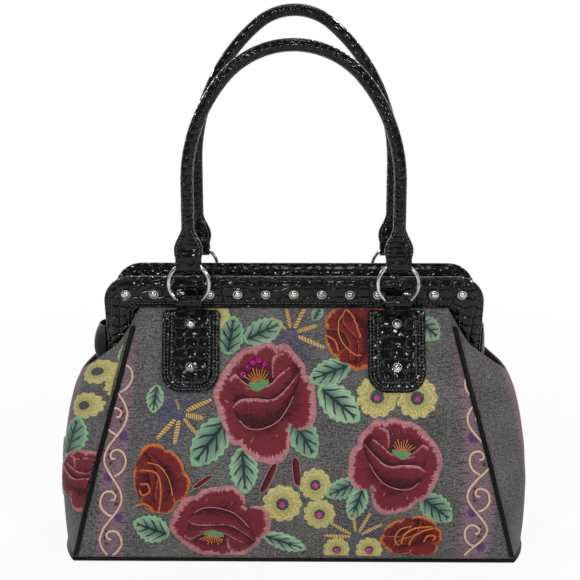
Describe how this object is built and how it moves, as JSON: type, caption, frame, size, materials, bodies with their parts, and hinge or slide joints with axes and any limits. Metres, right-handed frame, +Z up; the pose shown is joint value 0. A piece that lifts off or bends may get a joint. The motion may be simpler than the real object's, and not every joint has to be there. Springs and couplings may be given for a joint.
{
  "type": "hinged-frame satchel",
  "caption": "Satchel of floral tapestry cloth with padded patent frame halves that open on hinge pins and rolled handles that swing on rings.",
  "frame": {"origin": "centre of the base, on the surface that the bag stands on", "axes": "+Z up, the front faces -Y, +X to the right as seen from the front"},
  "size_m": [0.4466, 0.1641, 0.5053],
  "materials": {
    "tapestry": "woven, heathered",
    "patent": "glossy, embossed",
    "lining": "plain weave",
    "board": "matt",
    "steel": "satin",
    "nickel": "polished",
    "rose_thread": "satin stitch",
    "leaf_thread": "satin stitch",
    "blossom_thread": "satin stitch",
    "ray_thread": "twisted thread",
    "crystal": "cut, clear"
  },
  "bodies": {
    "bag": {"front_panel": "tapestry", "rear_panel": "tapestry", "left_gusset": "tapestry", "right_gusset": "tapestry", "left_gusset_insert": "patent", "right_gusset_insert": "patent", "base_panel": "tapestry", "base_board": "board", "lining": "lining", "front_left_piping": "patent", "front_right_piping": "patent", "rear_left_piping": "patent", "rear_right_piping": "patent", "base_piping": "patent", "rose_embroidery": "rose_thread", "leaf_embroidery": "leaf_thread", "blossom_embroidery": "blossom_thread", "ray_embroidery": "ray_thread", "crystals": "crystal"},
    "front_frame": {"front_band": "patent", "front_frame_bar": "steel", "front_band_studs": "nickel", "front_left_patch": "patent", "front_right_patch": "patent", "front_left_strap": "patent", "front_right_strap": "patent", "front_strap_studs": "nickel", "left_hinge_pin": "steel", "right_hinge_pin": "steel"},
    "rear_frame": {"rear_band": "patent", "rear_frame_bar": "steel", "rear_band_studs": "nickel", "rear_left_patch": "patent", "rear_right_patch": "patent", "rear_left_strap": "patent", "rear_right_strap": "patent", "rear_strap_studs": "nickel"},
    "front_left_ring": {"front_left_ring": "nickel"},
    "front_right_ring": {"front_right_ring": "nickel"},
    "front_handle": {"front_handle": "patent"},
    "rear_left_ring": {"rear_left_ring": "nickel"},
    "rear_right_ring": {"rear_right_ring": "nickel"},
    "rear_handle": {"rear_handle": "patent"}
  },
  "joints": [
    {"name": "front_frame_hinge", "type": "hinge", "parent": "bag", "child": "front_frame", "pos_m": [0, 0, 0.15], "axis": [1, 0, 0], "range_deg": [-5, 28], "deforming": ["front_panel", "front_left_piping", "front_right_piping", "rose_embroidery", "leaf_embroidery", "blossom_embroidery", "ray_embroidery", "crystals", "left_gusset", "right_gusset", "left_gusset_insert", "right_gusset_insert", "lining"]},
    {"name": "front_left_ring_hinge", "type": "hinge", "parent": "front_frame", "child": "front_left_ring", "pos_m": [-0.0945, -0.04392, 0.24002], "axis": [1, 0, 0], "range_deg": [0, 80]},
    {"name": "front_right_ring_hinge", "type": "hinge", "parent": "front_frame", "child": "front_right_ring", "pos_m": [0.0945, -0.04392, 0.24002], "axis": [1, 0, 0], "range_deg": [0, 80]},
    {"name": "front_handle_hinge", "type": "hinge", "parent": "front_left_ring", "child": "front_handle", "pos_m": [-0.0945, -0.04392, 0.27256], "axis": [1, 0, 0], "range_deg": [-2, 70]},
    {"name": "rear_frame_hinge", "type": "hinge", "parent": "bag", "child": "rear_frame", "pos_m": [0, 0, 0.15], "axis": [-1, 0, 0], "range_deg": [-5, 28], "deforming": ["rear_panel", "rear_left_piping", "rear_right_piping", "left_gusset", "right_gusset", "left_gusset_insert", "right_gusset_insert", "lining"]},
    {"name": "rear_left_ring_hinge", "type": "hinge", "parent": "rear_frame", "child": "rear_left_ring", "pos_m": [-0.0945, 0.04392, 0.24002], "axis": [-1, 0, 0], "range_deg": [0, 80]},
    {"name": "rear_right_ring_hinge", "type": "hinge", "parent": "rear_frame", "child": "rear_right_ring", "pos_m": [0.0945, 0.04392, 0.24002], "axis": [-1, 0, 0], "range_deg": [0, 80]},
    {"name": "rear_handle_hinge", "type": "hinge", "parent": "rear_left_ring", "child": "rear_handle", "pos_m": [-0.0945, 0.04392, 0.27256], "axis": [-1, 0, 0], "range_deg": [-2, 70]}
  ],
  "couplings": [
    {"joint": "front_right_ring_hinge", "follows": "front_left_ring_hinge", "ratio": 1},
    {"joint": "rear_right_ring_hinge", "follows": "rear_left_ring_hinge", "ratio": 1}
  ]
}
